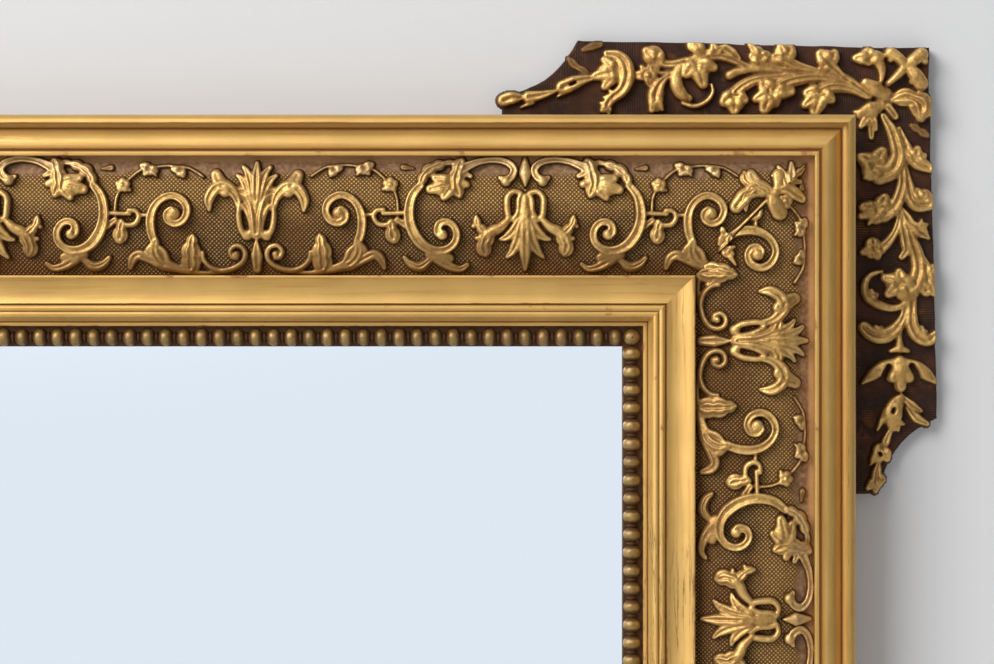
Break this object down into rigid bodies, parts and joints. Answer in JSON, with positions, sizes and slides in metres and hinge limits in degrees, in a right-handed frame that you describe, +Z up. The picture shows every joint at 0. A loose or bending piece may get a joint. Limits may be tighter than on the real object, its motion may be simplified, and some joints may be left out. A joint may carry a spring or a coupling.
{
  "type": "wall mirror",
  "caption": "Rectangular wall mirror in a gilt frame with eared corners, ornamented frieze and beaded sight edge, hung by swinging rings at the back.",
  "frame": {"origin": "centre of the mirror's back, on the wall plane", "axes": "+X to the viewer's right, +Y into the wall, +Z up"},
  "size_m": [1.0716, 0.0505, 1.2826],
  "materials": {
    "moulding_gilt": "gold leaf over red bole and gesso, worn at the edges",
    "slip_gilt": "gold leaf, darkened by age",
    "bead_gilt": "gold leaf on the crests, dark between the beads",
    "ornament_gilt": "cast composition, gilded, dark in its hollows",
    "frieze_ground": "gilded net on a brown ground, worn",
    "ear_ground": "dark brown, combed across, with red bole showing",
    "vine_gilt": "carved and gilded, dark in its hollows",
    "chassis_wood": "old pine, bare",
    "plank_wood": "old pine, bare and dusty",
    "block_wood": "pine, bare",
    "key_wood": "oak, bare",
    "mirror": "clear glass, silvered behind",
    "silver": "silvered coat, dull from behind",
    "iron": "wrought iron, dark and dull"
  },
  "bodies": {
    "frame": {"chassis_top": "chassis_wood", "sight_slip_top": "slip_gilt", "bead_string_top": "bead_gilt", "inner_moulding_top": "moulding_gilt", "frieze_top": "frieze_ground", "outer_moulding_top": "moulding_gilt", "frieze_scrolls_top": "ornament_gilt", "frieze_palmettes_top": "ornament_gilt", "chassis_right": "chassis_wood", "sight_slip_right": "slip_gilt", "bead_string_right": "bead_gilt", "inner_moulding_right": "moulding_gilt", "frieze_right": "frieze_ground", "outer_moulding_right": "moulding_gilt", "frieze_scrolls_right": "ornament_gilt", "frieze_palmettes_right": "ornament_gilt", "chassis_bottom": "chassis_wood", "sight_slip_bottom": "slip_gilt", "bead_string_bottom": "bead_gilt", "inner_moulding_bottom": "moulding_gilt", "frieze_bottom": "frieze_ground", "outer_moulding_bottom": "moulding_gilt", "frieze_scrolls_bottom": "ornament_gilt", "frieze_palmettes_bottom": "ornament_gilt", "chassis_left": "chassis_wood", "sight_slip_left": "slip_gilt", "bead_string_left": "bead_gilt", "inner_moulding_left": "moulding_gilt", "frieze_left": "frieze_ground", "outer_moulding_left": "moulding_gilt", "frieze_scrolls_left": "ornament_gilt", "frieze_palmettes_left": "ornament_gilt", "ear_top_right": "ear_ground", "ear_vine_top_right": "vine_gilt", "ear_bottom_right": "ear_ground", "ear_vine_bottom_right": "vine_gilt", "ear_bottom_left": "ear_ground", "ear_vine_bottom_left": "vine_gilt", "ear_top_left": "ear_ground", "ear_vine_top_left": "vine_gilt", "corner_beads": "bead_gilt", "corner_leaves": "ornament_gilt", "mirror_glass": "mirror", "silvering": "silver", "glass_blocks": "block_wood", "back_plank_lower": "plank_wood", "back_plank_middle": "plank_wood", "back_plank_upper": "plank_wood", "back_nails": "iron", "mitre_keys": "key_wood", "hanger_plate_right": "iron", "hanger_plate_left": "iron", "hanger_screws": "iron"},
    "right_ring": {"hanger_ring_right": "iron"},
    "left_ring": {"hanger_ring_left": "iron"}
  },
  "joints": [
    {"name": "right_ring_swing", "type": "hinge", "parent": "frame", "child": "right_ring", "pos_m": [0.4218, -0.0038, 0.25], "axis": [1, 0, 0], "range_deg": [0, 180]},
    {"name": "left_ring_swing", "type": "hinge", "parent": "frame", "child": "left_ring", "pos_m": [-0.4218, -0.0038, 0.25], "axis": [1, 0, 0], "range_deg": [0, 180]}
  ]
}
